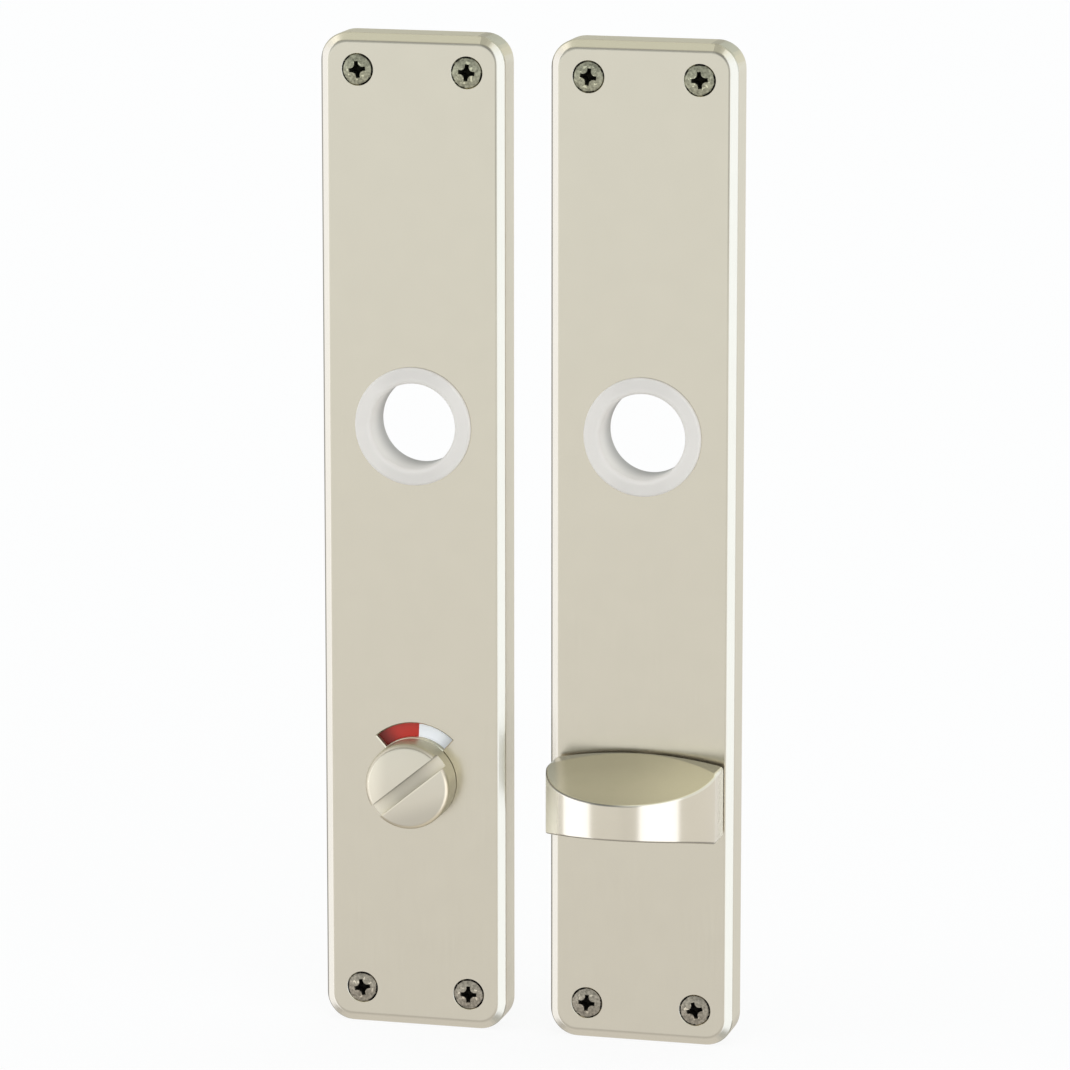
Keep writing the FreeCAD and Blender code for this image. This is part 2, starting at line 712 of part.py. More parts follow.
def turn_profile(x, back, front):
    """The wedge seen from the side: hollowed from the straight rim to the thin front."""
    left = x - TURN_WIDTH
    rim = back - TURN_STRAIGHT
    middle_y = (rim + front) / 2
    thick = TURN_MIDDLE_HEIGHT / 2
    thin = TURN_FRONT_HEIGHT / 2
    waist = (thick + thin) / 2 - TURN_HOLLOW
    upper = Part.Arc(
        at(left, rim, LOCK_Z + thick),
        at(left, middle_y, LOCK_Z + waist),
        at(left, front, LOCK_Z + thin),
    )
    lower = Part.Arc(
        at(left, front, LOCK_Z - thin),
        at(left, middle_y, LOCK_Z - waist),
        at(left, rim, LOCK_Z - thick),
    )
    top_front = at(left, front - SPARE, LOCK_Z + thin)
    low_front = at(left, front - SPARE, LOCK_Z - thin)
    top_back = at(left, back, LOCK_Z + thick)
    low_back = at(left, back, LOCK_Z - thick)
    edges = [
        Part.makeLine(top_back, upper.StartPoint),
        upper.toShape(),
        Part.makeLine(upper.EndPoint, top_front),
        Part.makeLine(top_front, low_front),
        Part.makeLine(low_front, lower.StartPoint),
        lower.toShape(),
        Part.makeLine(lower.EndPoint, low_back),
        Part.makeLine(low_back, top_back),
    ]
    return Part.Face(Part.Wire(edges)).extrude(at(2 * TURN_WIDTH, 0, 0))


def turn_grip(x):
    back = FACE_Y - TURN_GAP
    front = FACE_Y - TURN_PROJECTION
    body = turn_plan(x, back, front).common(turn_outline(x, back, front))
    body = body.common(turn_profile(x, back, front))
    return body.makeFillet(TURN_EDGE_RADIUS, sharp_edges(body))


def grub_hole(x):
    top = LOCK_Z - SPINDLE_SIDE / 2
    length = TURN_MIDDLE_HEIGHT / 2
    return Part.makeCylinder(
        GRUB_DIAMETER / 2 + SEAT_CLEARANCE,
        length,
        at(x, -GRUB_DEPTH, top + SPARE),
        at(0, 0, -1),
    )


def thumb_turn(x):
    back = FACE_Y - TURN_GAP
    socket = square_bar(x, LOCK_Z, SOCKET_SIDE, 0, -TURN_SOCKET_DEPTH, SPARE)
    return turn_grip(x).fuse(shaft(x, 0, back)).cut([socket, grub_hole(x)])


def turn_spindle(x):
    """The square bar that passes through the door to the lock and the other plate."""
    front = SPINDLE_END_GAP - TURN_SOCKET_DEPTH
    bar = square_bar(x, LOCK_Z, SPINDLE_SIDE, 0, front, SPINDLE_BEHIND_PLATE)
    ends = [
        edge
        for edge in bar.Edges
        if all(abs(v.Point.y - SPINDLE_BEHIND_PLATE) < 1e-6 for v in edge.Vertexes)
    ]
    return bar.makeChamfer(SPINDLE_CHAMFER, ends)


def grub_screw(x):
    """The set screw in the turn's underside, with its hexagon key hole."""
    top = LOCK_Z - SPINDLE_SIDE / 2 - SEAT_CLEARANCE
    down = at(0, 0, -1)
    body = Part.makeCylinder(GRUB_DIAMETER / 2, GRUB_LENGTH, at(x, -GRUB_DEPTH, top), down)
    reach = GRUB_KEY_SIZE / math.sqrt(3)
    bottom = top - GRUB_LENGTH
    corners = [
        at(
            x + reach * math.cos(math.radians(60 * i)),
            reach * math.sin(math.radians(60 * i)) - GRUB_DEPTH,
            bottom,
        )
        for i in range(7)
    ]
    key = Part.Face(Part.makePolygon(corners)).extrude(at(0, 0, GRUB_KEY_DEPTH))
    return body.cut(key)


def pieces():
    """Every piece's name and its shape."""
    out = OUTSIDE_X
    ins = INSIDE_X
    lug_at_rest = 270 - STOP_SWING / 2
    return {
        "outside_cover_plate": windowed_cover(out),
        "outside_support_frame": support_frame(out),
        "outside_handle_bush": handle_bush(out),
        "outside_bush_clip": bush_clip(out),
        "release_knob": release_knob(out),
        "release_bearing_bush": bearing_bush(out),
        "indicator_disc": indicator_disc(out),
        "indicator_red_segment": red_segment(out, 0),
        "release_spring_washer": spring_washer(out),
        "release_circlip": circlip(out, 90),
        "outside_screws": screws(out, OUTSIDE_SCREW_ANGLES),
        "inside_cover_plate": cover_plate(ins),
        "inside_support_frame": support_frame(ins),
        "inside_handle_bush": handle_bush(ins),
        "inside_bush_clip": bush_clip(ins),
        "thumb_turn": thumb_turn(ins),
        "turn_bearing_bush": bearing_bush(ins),
        "turn_stop_disc": stop_disc(ins, 0, lug_at_rest),
        "turn_spring_washer": spring_washer(ins),
        "turn_circlip": circlip(ins, 90),
        "turn_spindle": turn_spindle(ins),
        "spindle_set_screw": grub_screw(ins),
        "inside_screws": screws(ins, INSIDE_SCREW_ANGLES),
    }


os.makedirs("parts", exist_ok=True)
for name, shape in pieces().items():
    print(name, len(shape.Solids), round(shape.Volume, 1), shape.isValid())
    shape.exportStep(f"parts/{name}.step")
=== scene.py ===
import math

import bmesh
import bpy
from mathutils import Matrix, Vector


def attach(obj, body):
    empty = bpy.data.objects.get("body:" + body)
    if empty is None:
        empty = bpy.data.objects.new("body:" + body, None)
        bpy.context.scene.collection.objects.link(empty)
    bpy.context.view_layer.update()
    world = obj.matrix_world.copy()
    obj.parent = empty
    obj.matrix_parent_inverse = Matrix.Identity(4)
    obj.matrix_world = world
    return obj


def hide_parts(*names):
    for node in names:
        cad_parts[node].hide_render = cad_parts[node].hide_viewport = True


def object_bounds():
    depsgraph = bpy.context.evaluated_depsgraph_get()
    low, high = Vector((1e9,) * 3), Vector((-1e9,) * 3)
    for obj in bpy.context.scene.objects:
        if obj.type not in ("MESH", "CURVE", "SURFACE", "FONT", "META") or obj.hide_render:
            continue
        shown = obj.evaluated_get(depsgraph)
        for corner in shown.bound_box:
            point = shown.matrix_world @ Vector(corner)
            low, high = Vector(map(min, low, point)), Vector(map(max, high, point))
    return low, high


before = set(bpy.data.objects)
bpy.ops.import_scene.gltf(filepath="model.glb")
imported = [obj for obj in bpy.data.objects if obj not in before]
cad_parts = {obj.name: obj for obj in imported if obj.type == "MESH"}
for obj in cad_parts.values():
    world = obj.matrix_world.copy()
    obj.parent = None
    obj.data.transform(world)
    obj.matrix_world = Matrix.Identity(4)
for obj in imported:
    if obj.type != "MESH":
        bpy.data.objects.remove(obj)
cad_low, cad_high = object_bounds()

MM = 0.001
WELD = 0.000001

# Directions on a piece
FRONT = (0, -1, 0)
LEFT = (-1, 0, 0)
RIGHT = (1, 0, 0)
UP = (0, 0, 1)
DOWN = (0, 0, -1)

# The view: a long lens, a little to the right of the plates and above them
PHOTO_SIDE = 1070
FOCAL_PIXELS = 6062.8
SENSOR_WIDTH = 36.0
CAMERA_AZIMUTH = 14.5
CAMERA_ELEVATION = 11.5
CAMERA_DISTANCE = 1.3
CAMERA_TARGET = Vector((0.02591, -0.004, -0.02322))
CAMERA_NEAR = 0.05
CAMERA_FAR = 50.0

# The studio round the object: azimuths run from the front towards +X, in degrees
LEFT_SOFTBOX = (-92.0, -46.0)
RIGHT_SOFTBOX = (21.0, 76.0)
SOFTBOX_HEIGHT = (-40.0, 50.0)
SOFTBOX_EDGE = 3.5
SOFTBOX_FADE = 9.0
SOFTBOX_LEVEL = 1.6
SOFTBOX_TINT = (1.0, 1.03, 1.1)
ROOM_LEVEL = 1.035
CEILING_HEIGHTS = (5.0, 60.0)
CEILING_LEVEL = 0.8
GROUND_HEIGHTS = (-2.0, -32.0)
GROUND_LEVEL = 0.56
NADIR_HEIGHTS = (-32.0, -65.0)
NADIR_LIFT = 1.35
TINT_HEIGHTS = (-14.0, -5.0)
HIGH_TINT = (1.0, 1.05, 1.045)
LOW_TINT = (1.0, 0.985, 0.955)

# Grey screens: azimuths, elevations and the share of light that each one leaves
SCREENS = (
    ((-60.0, 21.0), (2.5, 34.0), 0.42),
    ((-4.0, 20.0), (-11.0, 2.5), 0.74),
    ((-200.0, -120.0), (-5.0, 60.0), 0.66),
)

# The floor
FLOOR_SIDE = 14.0
FLOOR_COLOUR = (0.93, 0.93, 0.93)
FLOOR_SHADOW_SHARE = 0.12

# The plates. From here on, places and sizes on the pieces are in millimetres. A pair of
# angles says how far a surface leans from a direction where a mask fades, in degrees.
PLATE_SPACING = 50.5
PLATE_HALF = 20.25
PLATE_FRONT_Y = -8.0
LOCK_Z = -78.0

# Patterns: the values that a noise mostly takes, and the number of patches per metre
NOISE_SPAN = (0.3, 0.7)
NOISE_DETAIL = 3.0
NOISE_ROUGHNESS = 0.5
METAL_CLOUD = 160.0
PLASTIC_CLOUD = 90.0
PLASTIC_GRAIN = 2600.0
CHAMPAGNE = (0.74, 0.69, 0.585)

# Cover plates: satin metal with a fine grain along the plate
COVER_FACE_ANGLES = (4.0, 14.0)
COVER_SIDE_ANGLES = (40.0, 75.0)
COVER_GRAIN = (4200, 4200, 120)
COVER_GRAIN_ROUGHNESS = 0.6
COVER_GRAIN_DEPTH = 0.0005
COVER_GRAIN_TONES = (0.987, 1.013)
COVER_CLOUD_TONES = (0.992, 1.008)
COVER_FACE_ROUGHNESS = 0.25
COVER_BEVEL_ROUGHNESS = 0.2
COVER_SIDE_ROUGHNESS = 0.5
COVER_ROUGHNESS_SPREAD = 0.015
# Painted shade: a thin dark line along the outer edge of each plate's left bevel
COVER_RIM_LEFT_ANGLES = (66.0, 78.0)
COVER_RIM_FRONT_ANGLES = (74.0, 84.0)
COVER_RIM_FADE = (0.32, 0.48)
COVER_RIM_SHADE_TONE = 0.42
# Painted reflection: a dark line on the right rounded edge, high on the plate and fading out below
COVER_LINE_OUTER_ANGLES = (85.0, 88.0)
COVER_LINE_INNER_ANGLES = (72.0, 79.0)
COVER_LINE_Z = (20.0, 62.0)
COVER_DARK_REFLECTION_TONE = 0.72
# Painted highlight: the left and right bevels are dimmed in colour, the right one bluer, to tone
# their highlights
COVER_BEVEL_OUTER_ANGLES = (68.0, 78.0)
COVER_BEVEL_INNER_ANGLES = (32.0, 44.0)
COVER_BEVEL_HIGHLIGHT_TINTS = ((LEFT, (0.77, 0.77, 0.775)), (RIGHT, (0.8, 0.84, 0.87)))
# Painted shade: surfaces of the plates that face upwards are darker and warmer
COVER_TOP_ANGLES = (64.0, 82.0)
COVER_TOP_SHADE_TINT = (0.9, 0.88, 0.78)

# Release knob: a turned face, a rounded edge and dull sides, each with painted light and shade
KNOB_FRONT_Y = -14.5
KNOB_RADIUS = 9.4
KNOB_CROWN = 0.005
KNOB_FACE_ANGLES = (4.0, 16.0)
KNOB_SIDE_ANGLES = (40.0, 75.0)
KNOB_TOP_ANGLES = (76.0, 87.0)
KNOB_FACE_ROUGHNESS = 0.36
KNOB_SIDE_ROUGHNESS = 0.5
# Painted light and shade on the face: brighter overall, lighter at the left, darker towards the
# lower right
KNOB_FACE_LIGHT_TONE = 1.1
KNOB_LIGHT_X = (-4.0, -8.5)
KNOB_LIGHT_TONE = 1.22
KNOB_SHADE_ANGLE = -70.0
KNOB_SHADE_FROM = (3.0, 7.5)
KNOB_SHADE_TONE = 0.86
# Painted highlight and shade: the rounded edge's highlight dimmed, most at the left and top, and
# warmed; the sides darker and olive, the top side less dark
KNOB_EDGE_X = (-6.0, 6.0)
KNOB_EDGE_HIGHLIGHT_TONES = (0.72, 1.0)
KNOB_EDGE_HIGHLIGHT_TINT = (1.04, 1.0, 0.91)
KNOB_TOP_EDGE_SHADE_TONE = 0.62
KNOB_SIDE_SHADE_TONE = 0.75
KNOB_SIDE_SHADE_TINT = (0.86, 0.86, 0.75)
KNOB_TOP_SIDE_SHADE_TONE = 0.9
KNOB_RINGS = 9.0
KNOB_RING_ROUGHNESS = 0.7
KNOB_RING_TONES = (0.985, 1.015)

# The knob's coin slot: fades are measured from its mouth, its floor and its side
COIN_SLOT_ANGLE = 39.4
SLOT_HALF = 1.525
SLOT_FLOOR_Y = -12.3
SLOT_MOUTH_FADE = (0.1, 0.5)
SLOT_FLOOR_FADE = (0.02, 0.1)
SLOT_SIDE_FADE = 0.08
# Painted shade in the slot: darker in the middle, lighter towards the ends, with a painted shadow
# along one side
SLOT_MIDDLE = 2.0
SLOT_SHADE_TONE = 0.9
SLOT_END_LIGHT_TONE = 1.25
SLOT_SHADOW_WIDTH = 0.45
SLOT_SHADOW_TONE = 0.55
# Painted highlight: a light strip on the face along one side of the slot
SLOT_LIP_WIDTH = 0.3
SLOT_LIP_FADE = 0.05
SLOT_LIP_HIGHLIGHT_TONE = 1.18
SLOT_ROUGHNESS = 0.5

# Thumb turn: a polished front, and satin above. X is measured from the turn's axis.
TURN_HALF = 18.5
TURN_GRAIN = (90, 90, 2600)
TURN_GRAIN_DETAIL = 2.0
TURN_GRAIN_DEPTH = 0.001
TURN_CLOUD_TONES = (0.985, 1.01)
TURN_FRONT_ROUGHNESS = 0.17
TURN_TOP_ROUGHNESS = 0.24
TURN_END_ROUGHNESS = 0.45
TURN_ROUGHNESS_SPREAD = 0.02
# Painted shade and light on the upper side: warmer, darker towards the plate, lighter towards the
# front and the right
TURN_TOP_ANGLES = (25.0, 60.0)
TURN_TOP_SHADE_TINT = (1.0, 1.0, 0.9)
TURN_SHADE_SKEW = 0.35
TURN_SHADE_DEPTHS = (-30.0, -2.0)
TURN_REAR_SHADE_TONE = 0.74
TURN_FRONT_LIGHT_TONE = 1.08
TURN_RIGHT_X = (-4.0, 15.0)
TURN_RIGHT_LIGHT_TONE = 1.22
# Painted shade: a dark line along the crest of the upper side, on its left part
TURN_CREST_OUTER_ANGLES = (66.0, 78.0)
TURN_CREST_INNER_ANGLES = (22.0, 32.0)
TURN_CREST_X = (-2.0, 5.0)
TURN_CREST_SHADE_TONE = 0.3
# Painted reflection: the rounded lower edge of the front is darkened
TURN_LOW_EDGE_OUTER_ANGLES = (66.0, 80.0)
TURN_LOW_EDGE_INNER_ANGLES = (22.0, 34.0)
TURN_LOW_EDGE_REFLECTION_TONE = 0.5
# Painted light: the left end of the turn lighter and bluer
TURN_END_ANGLES = (34.0, 50.0)
TURN_END_LIGHT_TINT = (1.06, 1.1, 1.1)

# Wood screws: places, and the shank and thread behind each head
SCREW_HALF_SPACING = 12.0
SCREW_MIDDLE_Z = -24.4
SCREW_HALF_HEIGHT = 100.8
SHANK_RADIUS = 1.4
SHANK_START_Y = -5.95
THREAD_START_Y = 0.1
THREAD_GROWTH = 1.4
THREAD_TAPER_Y = 13.0
THREAD_END_Y = 17.0
THREAD_CORE_RADIUS = 1.2
THREAD_CREST_RADIUS = 1.75
THREAD_PITCH = 1.55
THREAD_PROFILE = ((0.0, 0.0), (0.46, 0.0), (0.7, 1.0), (0.78, 1.0))
THREAD_STEPS = 28
THREAD_SPARE_TURNS = 2

# Screw heads: a shallow dome with a cross recess. Depths are measured from the dome.
SCREW_COLOUR = (0.40, 0.392, 0.29)
SCREW_TOP_Y = -8.35
SCREW_DOME_CURVE = 0.0338
SCREW_RIM_FADE = (2.98, 3.12)
CROSS_REACH_FADE = (2.1, 2.3)
CROSS_MOUTH_DEPTHS = (0.03, 0.3)
CROSS_FLOOR_DEPTHS = (1.75, 1.85)
SCREW_PATCHES = 1700.0
SCREW_PATCH_DETAIL = 4.0
SCREW_PATCH_ROUGHNESS = 0.7
SCREW_PATCH_DEPTH = 0.012
SCREW_PATCH_SPAN = (0.38, 0.62)
SCREW_PATCH_TONES = (0.68, 1.35)
SCREW_ROUGHNESS = (0.26, 0.4)
SPOT_DETAIL = 1.0
# Painted shade: the cross recess, and broken arcs in the gap round each head's rim, nearly black
SCREW_SHADE_TONE = 0.05
SCREW_SHADE_ROUGHNESS = 0.7
RIM_SHADE_ARCS = 260.0
RIM_SHADE_ARC_SPAN = (0.42, 0.5)
RIM_SHADE_DASHES = 1500.0
RIM_SHADE_DASH_SPAN = (0.36, 0.46)
RIM_SHADE_DASH_LEVELS = (0.35, 1.0)
# Painted highlights: light glints on the head beside the cross recess
GLINTS = 1100.0
GLINT_SPAN = (0.6, 0.66)
GLINT_RADII = (1.1, 2.4)
GLINT_FADE = 0.15
GLINT_DEPTHS = (0.1, 0.3)
GLINT_TONE = 2.1
SHANK_DEPTHS = (1.5, 3.0)
SHANK_TONES = (0.85, 1.12)
SHANK_TINT = (1.15, 1.12, 1.3)
LOWER_SCREW_TINT = (0.96, 0.88, 0.97)

# Springs, rings and spindle
SPRING_COLOUR = (0.42, 0.41, 0.39)
SPRING_ROUGHNESS = 0.3
SPRING_GRAIN = (1800, 1800, 1800)
SPINDLE_COLOUR = (0.60, 0.60, 0.58)
SPINDLE_ROUGHNESS = 0.28
SPINDLE_GRAIN = (2200, 70, 2200)
PATCHES = 300.0
PATCH_DETAIL = 4.0
PATCH_ROUGHNESS = 0.6
PATCH_TONES = (0.98, 1.02)
PATCH_ROUGHNESS_SHARES = (0.95, 1.07)
FINE_LINE_TONES = (0.96, 1.035)
FINE_LINE_DEPTH = 0.0006

# Handle bushes: a moulded flange and bore
BUSH_COLOUR = (0.80, 0.755, 0.70)
BUSH_ROUGHNESS = (0.33, 0.42)
BUSH_GRAIN_DEPTH = 0.006
BUSH_CLOUD_TONES = (0.97, 1.015)
FLANGE_RADIUS = 12.8
# Painted shade: a thin dark line where the flange meets the plate
SEAM_WIDTH = 0.06
SEAM_HEIGHT = 0.35
SEAM_SHADE_TONE = 0.6
# Painted shade: the flange darker at its top and bottom than at its sides
POLE_SHARES = (0.3, 0.85)
POLE_RADII = (9.75, 10.75)
POLE_SHADE_TONE = 0.92
# Painted shade: the bore darker towards its rear end
BORE_RADII = (9.55, 9.35)
BORE_DEPTHS = (-7.0, 1.2)
BORE_SHADE_TONE = 0.48

# Frames and bearing bushes
FRAME_COLOUR = (0.61, 0.59, 0.55)
FRAME_ROUGHNESS = 0.5
FRAME_GRAIN_DEPTH = 0.012
BEARING_COLOUR = (0.78, 0.77, 0.72)
BEARING_ROUGHNESS = 0.35
BEARING_GRAIN_DEPTH = 0.006
MOULDED_TONES = (0.965, 1.015)
MOULDED_ROUGHNESS_SHARES = (0.88, 1.1)
PLASTIC_IOR = 1.5

# The indicator: its two colours, each in shade towards its own end of the window
WHITE_COLOUR = (0.90, 0.93, 0.97)
WHITE_END_ANGLE = 48.0
WHITE_SHADE_WIDTH = (0.0, 3.0)
WHITE_SHADE_TONE = 0.7
# Painted light: the white plastic glows a little, so that it looks more brightly lit
WHITE_PAINTED_LIGHT = 0.22
RED_COLOUR = (0.70, 0.044, 0.028)
RED_END_ANGLE = 132.0
RED_SHADE_WIDTH = (0.3, 4.5)
RED_SHADE_TONE = 0.36
RED_PAINTED_LIGHT = 0.0
INDICATOR_CLOUD = 260.0
INDICATOR_TONES = (0.96, 1.03)
INDICATOR_ROUGHNESS = (0.3, 0.36)
INDICATOR_GRAIN_DEPTH = 0.003


def link_object(name, data):
    made = bpy.data.objects.new(name, data)
    bpy.context.scene.collection.objects.link(made)
    return made


# Node trees
class Tree:
    """A node tree that is filled by short calls, where a value is a number or a socket."""

    def __init__(self, tree):
        self.tree = tree
        self.tree.nodes.clear()

    def add(self, kind, inputs=None, **settings):
        made = self.tree.nodes.new(kind)
        for name, value in settings.items():
            setattr(made, name, value)
        for name, value in (inputs or {}).items():
            if isinstance(value, bpy.types.NodeSocket):
                self.tree.links.new(value, made.inputs[name])
            else:
                made.inputs[name].default_value = value
        return made

    def math(self, operation, first, second=0.0):
        inputs = {0: first, 1: second}
        return self.add("ShaderNodeMath", inputs, operation=operation).outputs[0]

    def plus(self, first, second):
        return self.math("ADD", first, second)

    def minus(self, first, second):
        return self.math("SUBTRACT", first, second)

    def size(self, value):
        return self.math("ABSOLUTE", value)

    def product(self, first, *others):
        for other in others:
            first = self.math("MULTIPLY", first, other)
        return first

    def ramp(self, value, start, end, low=0.0, high=1.0, smooth=True):
        """A value mapped from start..end to low..high, held beyond the ends."""
        inputs = {
            "Value": value, "From Min": start, "From Max": end, "To Min": low, "To Max": high,
        }
        kind = "SMOOTHSTEP" if smooth else "LINEAR"
        return self.add("ShaderNodeMapRange", inputs, interpolation_type=kind).outputs[0]

    def band(self, value, start, end, edge):
        """1 between start and end, with soft edges."""
        inside = self.ramp(value, start - edge, start + edge)
        beyond = self.ramp(value, end - edge, end + edge)
        return self.product(inside, self.minus(1.0, beyond))

    def mix(self, factor, first, second):
        return self.ramp(factor, 0.0, 1.0, first, second, False)

    def toned(self, tone, mask, level):
        """A tone that is multiplied by a level where the mask is 1."""
        return self.product(tone, self.mix(mask, 1.0, level))

    def noise(self, coordinates, scale, detail=NOISE_DETAIL, roughness=NOISE_ROUGHNESS):
        inputs = {
            "Vector": coordinates, "Scale": scale, "Detail": detail, "Roughness": roughness,
        }
        return self.add("ShaderNodeTexNoise", inputs).outputs["Fac"]

    def spread(self, noise, low, high):
        """The values of a noise mapped evenly to low..high."""
        return self.ramp(noise, *NOISE_SPAN, low, high, False)

    def vector(self, x, y, z):
        return self.add("ShaderNodeCombineXYZ", {0: x, 1: y, 2: z}).outputs[0]

    def stretch(self, coordinates, scale):
        inputs = {"Vector": coordinates, "Scale": scale}
        return self.add("ShaderNodeMapping", inputs).outputs[0]

    def place(self):
        """The place on the piece, as a vector in metres."""
        return self.add("ShaderNodeTexCoord").outputs["Object"]

    def millimetres(self):
        """The three parts of the place on the piece, in millimetres."""
        scaled = self.stretch(self.place(), (1 / MM,) * 3)
        return self.add("ShaderNodeSeparateXYZ", {0: scaled}).outputs

    def along(self, x, z, angle):
        """The distance along a direction at an angle from +X towards +Z."""
        across = self.product(x, math.cos(math.radians(angle)))
        up = self.product(z, math.sin(math.radians(angle)))
        return self.plus(across, up)

    def length(self, x, z):
        return self.math("SQRT", self.plus(self.product(x, x), self.product(z, z)))

    def facing(self, axis, angles):
        """1 where the piece's surface faces along its own axis, 0 where it turns away."""
        full, gone = angles
        turned = self.add("ShaderNodeNewGeometry").outputs["True Normal"]
        normal = self.add(
            "ShaderNodeVectorTransform",
            {0: turned},
            vector_type="NORMAL",
            convert_from="WORLD",
            convert_to="OBJECT",
        ).outputs[0]
        cosine = self.add(
            "ShaderNodeVectorMath", {0: normal, 1: axis}, operation="DOT_PRODUCT"
        ).outputs["Value"]
        return self.ramp(cosine, math.cos(math.radians(gone)), math.cos(math.radians(full)))

    def leaning(self, axis, outer, inner):
        """1 where the surface leans from the axis, between the inner and outer angles."""
        return self.minus(self.facing(axis, outer), self.facing(axis, inner))

    def colour(self, colour):
        made = self.add("ShaderNodeRGB")
        made.outputs[0].default_value = (*colour, 1.0)
        return made.outputs[0]

    def multiplied(self, colour, factors):
        inputs = {0: colour, 1: factors}
        return self.add("ShaderNodeVectorMath", inputs, operation="MULTIPLY").outputs[0]

    def shade(self, colour, factor):
        """A colour multiplied by a grey factor."""
        return self.multiplied(colour, self.vector(factor, factor, factor))

    def tinted(self, colour, mask, tint):
        """A colour that takes on a tint as the mask grows from 0 to 1."""
        shares = [self.mix(mask, 1.0, share) for share in tint]
        return self.multiplied(colour, self.vector(*shares))

    def blend(self, share, first, second):
        """Two shaders mixed, where the share says how much of the second is seen."""
        return self.add("ShaderNodeMixShader", {0: share, 1: first, 2: second}).outputs[0]


# Studio
def direction(azimuth, elevation):
    across = math.radians(azimuth)
    up = math.radians(elevation)
    return Vector(
        (math.sin(across) * math.cos(up), -math.cos(across) * math.cos(up), math.sin(up))
    )


def make_world():
    """A pale room with two tall soft boxes, a dimmer ceiling, and grey screens."""
    world = bpy.data.worlds.new("studio")
    bpy.context.scene.world = world
    world.use_nodes = True
    tree = Tree(world.node_tree)
    ray = tree.add("ShaderNodeTexCoord").outputs["Generated"]
    x, y, z = tree.add("ShaderNodeSeparateXYZ", {0: ray}).outputs
    across = tree.math("DEGREES", tree.math("ARCTAN2", x, tree.product(y, -1.0)))
    up = tree.math("DEGREES", tree.math("ARCSINE", z))
    left = tree.band(across, *LEFT_SOFTBOX, SOFTBOX_EDGE)
    right = tree.band(across, *RIGHT_SOFTBOX, SOFTBOX_EDGE)
    tall = tree.band(up, *SOFTBOX_HEIGHT, SOFTBOX_FADE)
    boxes = tree.product(tree.plus(left, right), tall)
    room = tree.product(
        tree.ramp(up, *CEILING_HEIGHTS, 1.0, CEILING_LEVEL),
        tree.ramp(up, *GROUND_HEIGHTS, 1.0, GROUND_LEVEL),
        ROOM_LEVEL,
        tree.ramp(up, *NADIR_HEIGHTS, 1.0, NADIR_LIFT),
    )
    for sides, heights, level in SCREENS:
        wide = tree.band(across, *sides, SOFTBOX_EDGE)
        screen = tree.product(wide, tree.band(up, *heights, SOFTBOX_EDGE))
        room = tree.toned(room, screen, level)
    height = tree.ramp(up, *TINT_HEIGHTS)
    channels = []
    for low, high, lit in zip(LOW_TINT, HIGH_TINT, SOFTBOX_TINT):
        wall_shade = tree.product(room, tree.mix(height, low, high))
        channels.append(tree.mix(boxes, wall_shade, lit * SOFTBOX_LEVEL))
    inputs = {"Color": tree.vector(*channels), "Strength": 1.0}
    surface = tree.add("ShaderNodeBackground", inputs).outputs[0]
    tree.add("ShaderNodeOutputWorld", {"Surface": surface})


def make_floor():
    """A wide pale floor: white to the camera, with the object's soft shadow on it."""
    half = FLOOR_SIDE / 2
    mesh = bpy.data.meshes.new("floor")
    corners = [(-half, -half), (half, -half), (half, half), (-half, half)]
    mesh.from_pydata([(x, y, cad_low.z) for x, y in corners], [], [(0, 1, 2, 3)])
    floor = link_object("floor", mesh)
    material, tree = new_material("pale_floor")
    path = tree.add("ShaderNodeLightPath").outputs
    pale = tree.add("ShaderNodeBsdfDiffuse", {"Color": (*FLOOR_COLOUR, 1.0)}).outputs[0]
    white = tree.add("ShaderNodeEmission", {"Color": (1, 1, 1, 1), "Strength": 1.0}).outputs[0]
    clear = tree.add("ShaderNodeBsdfTransparent").outputs[0]
    direct = tree.math("MAXIMUM", path["Is Camera Ray"], path["Is Transmission Ray"])
    seen = tree.blend(FLOOR_SHADOW_SHARE, white, pale)
    plain = tree.blend(direct, pale, seen)
    surface = tree.blend(path["Is Glossy Ray"], plain, clear)
    tree.add("ShaderNodeOutputMaterial", {"Surface": surface})
    mesh.materials.append(material)


def make_camera():
    data = bpy.data.cameras.new("camera")
    data.sensor_width = SENSOR_WIDTH
    data.lens = FOCAL_PIXELS / PHOTO_SIDE * SENSOR_WIDTH
    data.clip_start = CAMERA_NEAR
    data.clip_end = CAMERA_FAR
    camera = link_object("camera", data)
    back = direction(CAMERA_AZIMUTH, CAMERA_ELEVATION)
    camera.location = CAMERA_TARGET + back * CAMERA_DISTANCE
    camera.rotation_euler = (-back).to_track_quat("-Z", "Y").to_euler()
    bpy.context.scene.camera = camera


# Wood screws
def thread_point(x, z, angle, y, share):
    """A point of the thread in metres. The share is 0 at its core and 1 at its crest."""
    y = min(max(y, THREAD_START_Y), THREAD_END_Y)
    grown = min((y - THREAD_START_Y) / THREAD_GROWTH, 1.0)
    taper = min((THREAD_END_Y - y) / (THREAD_END_Y - THREAD_TAPER_Y), 1.0)
    core = SHANK_RADIUS + (THREAD_CORE_RADIUS - SHANK_RADIUS) * grown
    radius = (core + (THREAD_CREST_RADIUS - core) * share * grown) * taper
    return Vector((x + radius * math.cos(angle), y, z + radius * math.sin(angle))) * MM


